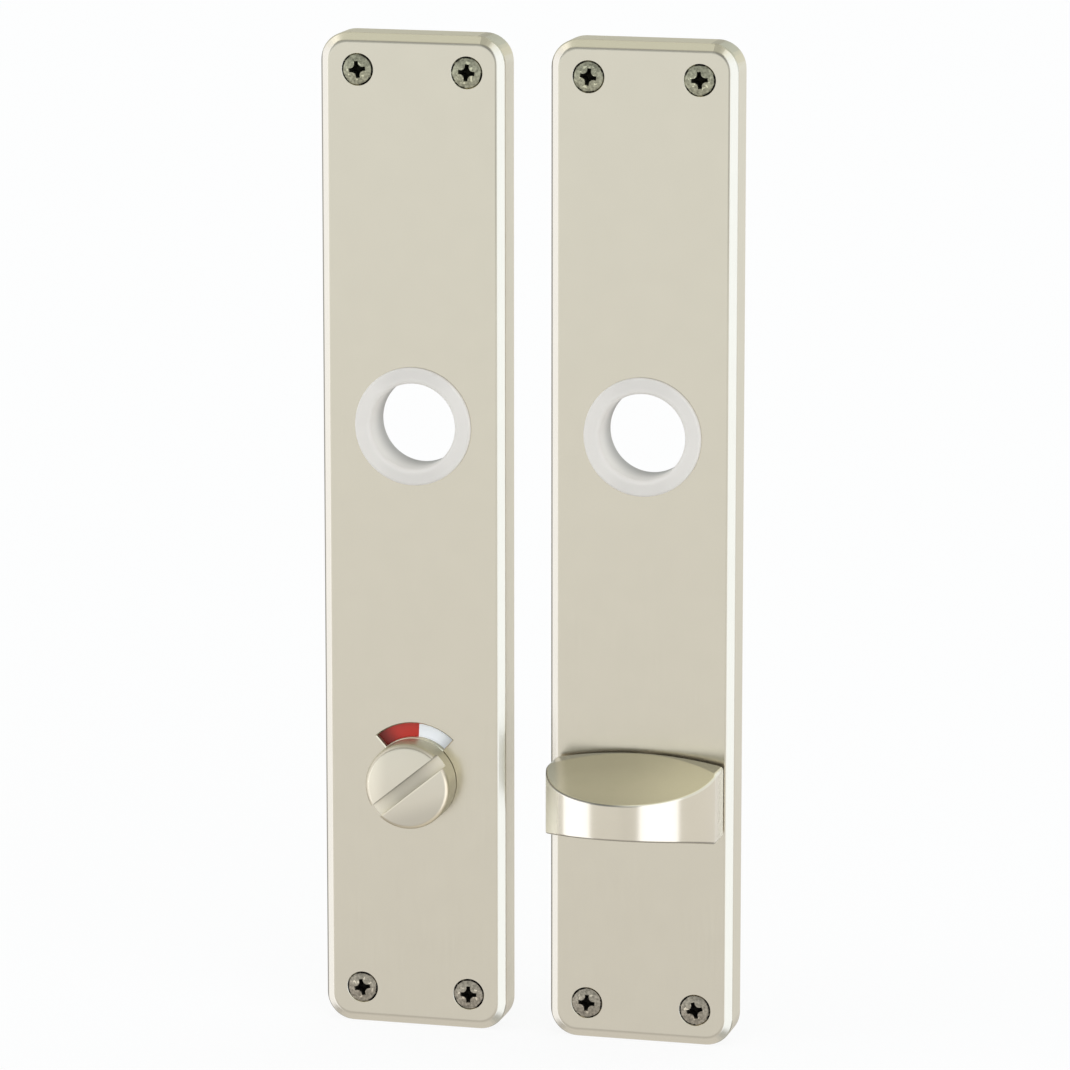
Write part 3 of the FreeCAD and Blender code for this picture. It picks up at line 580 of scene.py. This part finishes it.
def add_thread(mesh, x, z):
    """A plain shank that runs into a helical thread, which tapers to a point."""
    turn = 2 * math.pi / THREAD_STEPS
    turns = (THREAD_END_Y - THREAD_START_Y) / THREAD_PITCH + THREAD_SPARE_TURNS
    count = math.ceil(turns * THREAD_STEPS)
    start = THREAD_START_Y - THREAD_PITCH
    rows = []
    for step in range(count + THREAD_STEPS):
        base = start + step / THREAD_STEPS * THREAD_PITCH
        rows.append([
            mesh.verts.new(thread_point(x, z, step * turn, base + along * THREAD_PITCH, share))
            for along, share in THREAD_PROFILE
        ])
    made = [vertex for row in rows for vertex in row]
    ring = []
    for step in range(THREAD_STEPS):
        point = thread_point(x, z, step * turn, THREAD_START_Y, 0.0)
        point.y = SHANK_START_Y * MM
        ring.append(mesh.verts.new(point))
    made += ring
    faces = []
    for step in range(count - 1):
        first = rows[step] + [rows[step + THREAD_STEPS][0]]
        second = rows[step + 1] + [rows[step + 1 + THREAD_STEPS][0]]
        for i in range(len(THREAD_PROFILE)):
            faces.append(mesh.faces.new((first[i], second[i], second[i + 1], first[i + 1])))
    for step in range(THREAD_STEPS):
        after = (step + 1) % THREAD_STEPS
        faces.append(
            mesh.faces.new((ring[step], ring[after], rows[step + 1][0], rows[step][0]))
        )
    for face in faces:
        face.smooth = True
    bmesh.ops.recalc_face_normals(mesh, faces=faces)
    bmesh.ops.remove_doubles(mesh, verts=made, dist=WELD)


def threaded_screws(node_name, plate_x):
    """The node's screws with their own heads, and threads in place of the plain shanks."""
    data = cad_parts[node_name].data.copy()
    mesh = bmesh.new()
    mesh.from_mesh(data)
    limit = SHANK_START_Y * MM - WELD
    shanks = [face for face in mesh.faces if all(vert.co.y > limit for vert in face.verts)]
    bmesh.ops.delete(mesh, geom=shanks, context="FACES")
    for up in (-1, 1):
        for side in (-1, 1):
            add_thread(
                mesh,
                plate_x + side * SCREW_HALF_SPACING,
                SCREW_MIDDLE_Z + up * SCREW_HALF_HEIGHT,
            )
    mesh.to_mesh(data)
    mesh.free()
    piece = link_object(node_name + "_threaded", data)
    piece.material_slots[0].material = materials["screw_steel"]
    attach(piece, "plates")
    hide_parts(node_name)


# Materials
def new_material(name):
    material = bpy.data.materials.new(name)
    material.use_nodes = True
    return material, Tree(material.node_tree)


def finish_material(tree, colour, tone, roughness, height, depth, others):
    """The shader: a colour times its tone, a roughness, and a relief in millimetres."""
    inputs = {
        "Base Color": tree.shade(colour, tone),
        "Roughness": roughness,
        "Normal": tree.add("ShaderNodeBump", {"Height": height, "Distance": depth * MM}).outputs[0],
        **others,
    }
    shader = tree.add("ShaderNodeBsdfPrincipled", inputs).outputs[0]
    tree.add("ShaderNodeOutputMaterial", {"Surface": shader})


def finish_metal(tree, colour, tone, roughness, height, depth):
    finish_material(tree, colour, tone, roughness, height, depth, {"Metallic": 1.0})


def finish_plastic(tree, colour, tone, roughness, height, depth, **others):
    others = {"Metallic": 0.0, "IOR": PLASTIC_IOR, **others}
    finish_material(tree, tree.colour(colour), tone, roughness, height, depth, others)


def cover_metal(name):
    """Satin metal with a straight fine grain. Face, bevel and sides differ in roughness."""
    material, tree = new_material(name)
    place = tree.place()
    x, _, z = tree.millimetres()
    lines = tree.noise(tree.stretch(place, COVER_GRAIN), 1.0, roughness=COVER_GRAIN_ROUGHNESS)
    cloud = tree.noise(place, METAL_CLOUD)
    face = tree.facing(FRONT, COVER_FACE_ANGLES)
    side = tree.minus(1.0, tree.facing(FRONT, COVER_SIDE_ANGLES))
    rough = tree.mix(face, COVER_BEVEL_ROUGHNESS, COVER_FACE_ROUGHNESS)
    rough = tree.mix(side, rough, COVER_SIDE_ROUGHNESS)
    spread = tree.spread(lines, -COVER_ROUGHNESS_SPREAD, COVER_ROUGHNESS_SPREAD)
    rough = tree.plus(rough, tree.product(spread, face))
    tone = tree.spread(lines, *COVER_GRAIN_TONES)
    tone = tree.product(tone, tree.spread(cloud, *COVER_CLOUD_TONES))
    second = tree.math("GREATER_THAN", x, PLATE_SPACING / 2)
    inward = tree.plus(tree.minus(x, tree.product(second, PLATE_SPACING)), PLATE_HALF)
    # Painted shade: a thin dark line along the outer edge of the left bevel
    rim_shade = tree.product(
        tree.facing(LEFT, COVER_RIM_LEFT_ANGLES),
        tree.facing(FRONT, COVER_RIM_FRONT_ANGLES),
        tree.ramp(inward, *COVER_RIM_FADE, 1.0, 0.0),
    )
    tone = tree.toned(tone, rim_shade, COVER_RIM_SHADE_TONE)
    # Painted reflection: a dark line on the right rounded edge, high on the plate
    dark_reflection = tree.leaning(RIGHT, COVER_LINE_OUTER_ANGLES, COVER_LINE_INNER_ANGLES)
    dark_reflection = tree.product(dark_reflection, tree.ramp(z, *COVER_LINE_Z))
    tone = tree.toned(tone, dark_reflection, COVER_DARK_REFLECTION_TONE)
    # Painted shade: upward-facing surfaces darker and warmer
    upward = tree.facing(UP, COVER_TOP_ANGLES)
    painted = tree.tinted(tree.colour(CHAMPAGNE), upward, COVER_TOP_SHADE_TINT)
    # Painted highlight: the bevels dimmed in colour, the right one bluer
    for across, tint in COVER_BEVEL_HIGHLIGHT_TINTS:
        bevel_highlight = tree.leaning(across, COVER_BEVEL_OUTER_ANGLES, COVER_BEVEL_INNER_ANGLES)
        painted = tree.tinted(painted, bevel_highlight, tint)
    finish_metal(tree, painted, tone, rough, tree.product(lines, face), COVER_GRAIN_DEPTH)
    return material


def knob_metal(name):
    """Satin knob: painted light and shade on the face, dull sides in painted shade, a sawn coin
    slot.
    """
    material, tree = new_material(name)
    x, y, z = tree.millimetres()
    z = tree.minus(z, LOCK_Z)
    along = tree.along(x, z, COIN_SLOT_ANGLE)
    across = tree.along(x, z, COIN_SLOT_ANGLE + 90.0)
    radius = tree.length(x, z)
    front = tree.facing(FRONT, KNOB_FACE_ANGLES)
    side = tree.minus(1.0, tree.facing(FRONT, KNOB_SIDE_ANGLES))
    upward = tree.facing(UP, KNOB_TOP_ANGLES)

    mouth = [KNOB_FRONT_Y + fade for fade in SLOT_MOUTH_FADE]
    bottom = [SLOT_FLOOR_Y + fade for fade in SLOT_FLOOR_FADE]
    slot = tree.product(
        tree.ramp(y, *mouth),
        tree.ramp(y, *bottom, 1.0, 0.0),
        tree.ramp(tree.size(across), SLOT_HALF, SLOT_HALF + SLOT_SIDE_FADE, 1.0, 0.0),
    )
    # Painted shade on the slot floor: darker in the middle, lighter at the ends, a painted shadow
    # along one side
    slot_shading = tree.product(
        tree.ramp(tree.size(along), SLOT_MIDDLE, KNOB_RADIUS, SLOT_SHADE_TONE, SLOT_END_LIGHT_TONE),
        tree.ramp(across, SLOT_HALF - SLOT_SHADOW_WIDTH, SLOT_HALF, 1.0, SLOT_SHADOW_TONE),
    )

    # Painted light on the face, lightest at the left, and painted shade towards the lower right
    light = tree.ramp(x, *KNOB_LIGHT_X, KNOB_FACE_LIGHT_TONE, KNOB_FACE_LIGHT_TONE * KNOB_LIGHT_TONE)
    shade = tree.along(x, z, KNOB_SHADE_ANGLE)
    light = tree.product(light, tree.ramp(shade, *KNOB_SHADE_FROM, 1.0, KNOB_SHADE_TONE))
    # Painted highlight: a light strip on the face along one side of the slot
    lip_highlight = tree.band(across, -SLOT_HALF - SLOT_LIP_WIDTH, -SLOT_HALF, SLOT_LIP_FADE)
    light = tree.toned(light, lip_highlight, SLOT_LIP_HIGHLIGHT_TONE)
    # Painted highlight on the rounded edge, dimmed at the left and top, and painted shade on the
    # sides
    edge = tree.ramp(x, *KNOB_EDGE_X, *KNOB_EDGE_HIGHLIGHT_TONES)
    edge = tree.mix(upward, edge, KNOB_TOP_EDGE_SHADE_TONE)
    wall_shade = tree.mix(upward, KNOB_SIDE_SHADE_TONE, KNOB_TOP_SIDE_SHADE_TONE)
    body = tree.mix(front, tree.mix(side, edge, wall_shade), light)
    rings = tree.noise(tree.vector(radius, 0.0, 0.0), KNOB_RINGS, roughness=KNOB_RING_ROUGHNESS)
    tone = tree.product(tree.mix(slot, body, slot_shading), tree.spread(rings, *KNOB_RING_TONES))

    rough = tree.mix(side, KNOB_FACE_ROUGHNESS, KNOB_SIDE_ROUGHNESS)
    rough = tree.mix(slot, rough, SLOT_ROUGHNESS)
    rounded = tree.minus(tree.minus(1.0, side), front)
    # Painted shade tints the sides olive, and the painted highlight on the rounded edge is warmer
    painted = tree.tinted(tree.colour(CHAMPAGNE), side, KNOB_SIDE_SHADE_TINT)
    painted = tree.tinted(painted, rounded, KNOB_EDGE_HIGHLIGHT_TINT)
    dome = tree.product(radius, radius, -KNOB_CROWN, tree.minus(1.0, slot))
    finish_metal(tree, painted, tone, rough, dome, 1.0)
    return material


def turn_metal(name):
    """Polished front, and a satin upper side in painted shade towards the plate, lighter in front.
    """
    material, tree = new_material(name)
    place = tree.place()
    x, y, _ = tree.millimetres()
    x = tree.minus(x, PLATE_SPACING)
    lines = tree.noise(tree.stretch(place, TURN_GRAIN), 1.0, TURN_GRAIN_DETAIL)
    cloud = tree.noise(place, METAL_CLOUD)
    top = tree.facing(UP, TURN_TOP_ANGLES)
    end = tree.facing(LEFT, TURN_END_ANGLES)
    # Painted shade on the upper side towards the plate, and painted light towards the front and the
    # right
    skewed = tree.minus(y, tree.product(tree.minus(x, TURN_HALF), TURN_SHADE_SKEW))
    upper_shading = tree.product(
        tree.mix(tree.ramp(skewed, *TURN_SHADE_DEPTHS), TURN_FRONT_LIGHT_TONE, TURN_REAR_SHADE_TONE),
        tree.ramp(x, *TURN_RIGHT_X, 1.0, TURN_RIGHT_LIGHT_TONE),
    )
    # Painted shade: a dark line along the crest, on its left part
    crest_shade = tree.leaning(UP, TURN_CREST_OUTER_ANGLES, TURN_CREST_INNER_ANGLES)
    crest_shade = tree.product(crest_shade, tree.ramp(x, *TURN_CREST_X, 1.0, 0.0))
    # Painted reflection: the rounded lower edge darkened
    low_edge_reflection = tree.leaning(DOWN, TURN_LOW_EDGE_OUTER_ANGLES, TURN_LOW_EDGE_INNER_ANGLES)
    tone = tree.mix(top, 1.0, upper_shading)
    tone = tree.toned(tone, crest_shade, TURN_CREST_SHADE_TONE)
    tone = tree.toned(tone, low_edge_reflection, TURN_LOW_EDGE_REFLECTION_TONE)
    tone = tree.product(tone, tree.spread(cloud, *TURN_CLOUD_TONES))
    painted = tree.tinted(tree.colour(CHAMPAGNE), top, TURN_TOP_SHADE_TINT)
    # Painted light: the left end lighter and bluer
    painted = tree.tinted(painted, end, TURN_END_LIGHT_TINT)
    rough = tree.mix(top, TURN_FRONT_ROUGHNESS, TURN_TOP_ROUGHNESS)
    rough = tree.mix(end, rough, TURN_END_ROUGHNESS)
    spread = tree.spread(lines, -TURN_ROUGHNESS_SPREAD, TURN_ROUGHNESS_SPREAD)
    finish_metal(tree, painted, tone, tree.plus(rough, spread), lines, TURN_GRAIN_DEPTH)
    return material


def screw_metal(name):
    """Dull mottled screw steel, with painted shade in the recess and round the rim, and painted
    glints.
    """
    material, tree = new_material(name)
    place = tree.place()
    x, y, z = tree.millimetres()
    lower = tree.math("LESS_THAN", z, SCREW_MIDDLE_Z)
    # The eight screws fold onto one axis
    for _ in range(2):
        x = tree.size(tree.minus(x, PLATE_SPACING / 2))
    x = tree.minus(x, SCREW_HALF_SPACING)
    z = tree.minus(tree.size(tree.minus(z, SCREW_MIDDLE_Z)), SCREW_HALF_HEIGHT)
    radius = tree.length(x, z)
    dome = tree.plus(tree.product(radius, radius, SCREW_DOME_CURVE), SCREW_TOP_Y)
    depth = tree.minus(y, dome)
    shank = tree.ramp(depth, *SHANK_DEPTHS)
    # Painted shade in the cross recess
    recess = tree.product(
        tree.ramp(depth, *CROSS_MOUTH_DEPTHS),
        tree.ramp(depth, *CROSS_FLOOR_DEPTHS, 1.0, 0.0),
        tree.ramp(radius, *CROSS_REACH_FADE, 1.0, 0.0),
    )
    # Painted shade in broken arcs round the head's rim
    arcs = tree.noise(place, RIM_SHADE_ARCS, SPOT_DETAIL)
    dashes = tree.noise(place, RIM_SHADE_DASHES, SPOT_DETAIL)
    rim_shade = tree.product(
        tree.ramp(radius, *SCREW_RIM_FADE),
        tree.ramp(arcs, *RIM_SHADE_ARC_SPAN),
        tree.ramp(dashes, *RIM_SHADE_DASH_SPAN, *RIM_SHADE_DASH_LEVELS),
    )
    shaded = tree.math("MAXIMUM", recess, rim_shade)
    # Painted highlights: light glints beside the cross recess
    glint = tree.product(
        tree.ramp(tree.noise(place, GLINTS, SPOT_DETAIL), *GLINT_SPAN),
        tree.band(radius, *GLINT_RADII, GLINT_FADE),
        tree.ramp(depth, *GLINT_DEPTHS, 1.0, 0.0),
    )
    patches = tree.noise(place, SCREW_PATCHES, SCREW_PATCH_DETAIL, SCREW_PATCH_ROUGHNESS)
    tone = tree.ramp(patches, *SCREW_PATCH_SPAN, *SCREW_PATCH_TONES, False)
    tone = tree.mix(glint, tone, GLINT_TONE)
    tone = tree.mix(shank, tone, tree.spread(patches, *SHANK_TONES))
    tone = tree.mix(shaded, tone, SCREW_SHADE_TONE)
    painted = tree.tinted(tree.colour(SCREW_COLOUR), shank, SHANK_TINT)
    lower_head = tree.product(lower, tree.minus(1.0, shank))
    painted = tree.tinted(painted, lower_head, LOWER_SCREW_TINT)
    rough = tree.mix(shaded, tree.spread(patches, *SCREW_ROUGHNESS), SCREW_SHADE_ROUGHNESS)
    finish_metal(tree, painted, tone, rough, patches, SCREW_PATCH_DEPTH)
    return material


def plain_metal(name, colour, roughness, grain):
    """Drawn, turned or pressed metal with fine lines and soft patches."""
    material, tree = new_material(name)
    place = tree.place()
    patches = tree.noise(place, PATCHES, PATCH_DETAIL, PATCH_ROUGHNESS)
    fine = tree.noise(tree.stretch(place, grain), 1.0)
    tone = tree.spread(patches, *PATCH_TONES)
    tone = tree.product(tone, tree.spread(fine, *FINE_LINE_TONES))
    rough = tree.spread(patches, *(roughness * share for share in PATCH_ROUGHNESS_SHARES))
    finish_metal(tree, tree.colour(colour), tone, rough, fine, FINE_LINE_DEPTH)
    return material


def bush_plastic(name):
    """Moulded nylon with painted shade: where the flange meets the plate, at its top and bottom,
    down the bore.
    """
    material, tree = new_material(name)
    place = tree.place()
    x, y, z = tree.millimetres()
    # Both bushes fold onto one axis
    x = tree.minus(tree.size(tree.minus(x, PLATE_SPACING / 2)), PLATE_SPACING / 2)
    radius = tree.length(x, z)
    aside = tree.math("DIVIDE", tree.size(x), radius)
    # Painted shade at the flange's top and bottom
    pole_shade = tree.product(tree.ramp(aside, *POLE_SHARES, 1.0, 0.0), tree.ramp(radius, *POLE_RADII))
    # Painted shade where the flange meets the plate
    seam_shade = tree.product(
        tree.ramp(radius, FLANGE_RADIUS - SEAM_WIDTH, FLANGE_RADIUS),
        tree.ramp(y, PLATE_FRONT_Y - SEAM_HEIGHT, PLATE_FRONT_Y),
    )
    # Painted shade down the bore
    bore_shade = tree.product(tree.ramp(radius, *BORE_RADII), tree.ramp(y, *BORE_DEPTHS))
    grain = tree.noise(place, PLASTIC_GRAIN)
    tone = tree.spread(tree.noise(place, PLASTIC_CLOUD), *BUSH_CLOUD_TONES)
    tone = tree.toned(tone, pole_shade, POLE_SHADE_TONE)
    tone = tree.toned(tone, seam_shade, SEAM_SHADE_TONE)
    tone = tree.toned(tone, bore_shade, BORE_SHADE_TONE)
    rough = tree.spread(grain, *BUSH_ROUGHNESS)
    finish_plastic(tree, BUSH_COLOUR, tone, rough, grain, BUSH_GRAIN_DEPTH)
    return material


def moulded_plastic(name, colour, roughness, grain_depth):
    """Moulded plastic with a fine eroded grain and a slight unevenness of tone."""
    material, tree = new_material(name)
    place = tree.place()
    grain = tree.noise(place, PLASTIC_GRAIN)
    tone = tree.spread(tree.noise(place, PLASTIC_CLOUD), *MOULDED_TONES)
    rough = tree.spread(grain, *(roughness * share for share in MOULDED_ROUGHNESS_SHARES))
    finish_plastic(tree, colour, tone, rough, grain, grain_depth)
    return material


def indicator_plastic(name, colour, end_angle, shade_width, shade_tone, painted_glow):
    """Smooth moulded plastic in the window, in shade towards one end of the window, with a painted
    glow.
    """
    material, tree = new_material(name)
    place = tree.place()
    x, _, z = tree.millimetres()
    beyond = tree.size(tree.along(x, tree.minus(z, LOCK_Z), end_angle - 90.0))
    grain = tree.noise(place, PLASTIC_GRAIN)
    cloud = tree.noise(place, INDICATOR_CLOUD)
    tone = tree.ramp(beyond, *shade_width, shade_tone, 1.0)
    tone = tree.product(tone, tree.spread(cloud, *INDICATOR_TONES))
    rough = tree.spread(grain, *INDICATOR_ROUGHNESS)
    # Painted light: an emission that makes the plastic look more brightly lit
    light = {"Emission Color": (*colour, 1.0), "Emission Strength": painted_glow}
    finish_plastic(tree, colour, tone, rough, grain, INDICATOR_GRAIN_DEPTH, **light)
    return material


materials = {
    "cover_aluminium": cover_metal("brushed_cover"),
    "knob_aluminium": knob_metal("satin_knob"),
    "turn_aluminium": turn_metal("polished_turn"),
    "bush_plastic": bush_plastic("bush_nylon"),
    "frame_plastic": moulded_plastic(
        "frame_nylon", FRAME_COLOUR, FRAME_ROUGHNESS, FRAME_GRAIN_DEPTH
    ),
    "bearing_plastic": moulded_plastic(
        "bearing_nylon", BEARING_COLOUR, BEARING_ROUGHNESS, BEARING_GRAIN_DEPTH
    ),
    "disc_white": indicator_plastic(
        "disc_white",
        WHITE_COLOUR,
        WHITE_END_ANGLE,
        WHITE_SHADE_WIDTH,
        WHITE_SHADE_TONE,
        WHITE_PAINTED_LIGHT,
    ),
    "indicator_red": indicator_plastic(
        "indicator_red",
        RED_COLOUR,
        RED_END_ANGLE,
        RED_SHADE_WIDTH,
        RED_SHADE_TONE,
        RED_PAINTED_LIGHT,
    ),
    "spring_steel": plain_metal("spring_steel", SPRING_COLOUR, SPRING_ROUGHNESS, SPRING_GRAIN),
    "screw_steel": screw_metal("screw_steel"),
    "spindle_steel": plain_metal(
        "spindle_steel", SPINDLE_COLOUR, SPINDLE_ROUGHNESS, SPINDLE_GRAIN
    ),
}

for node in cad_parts.values():
    for slot in node.material_slots:
        slot.material = materials[slot.material.name.split(".")[0]]

threaded_screws("outside_screws", 0.0)
threaded_screws("inside_screws", PLATE_SPACING)

make_world()
make_floor()
make_camera()

view = bpy.context.scene.view_settings
view.view_transform = "Standard"
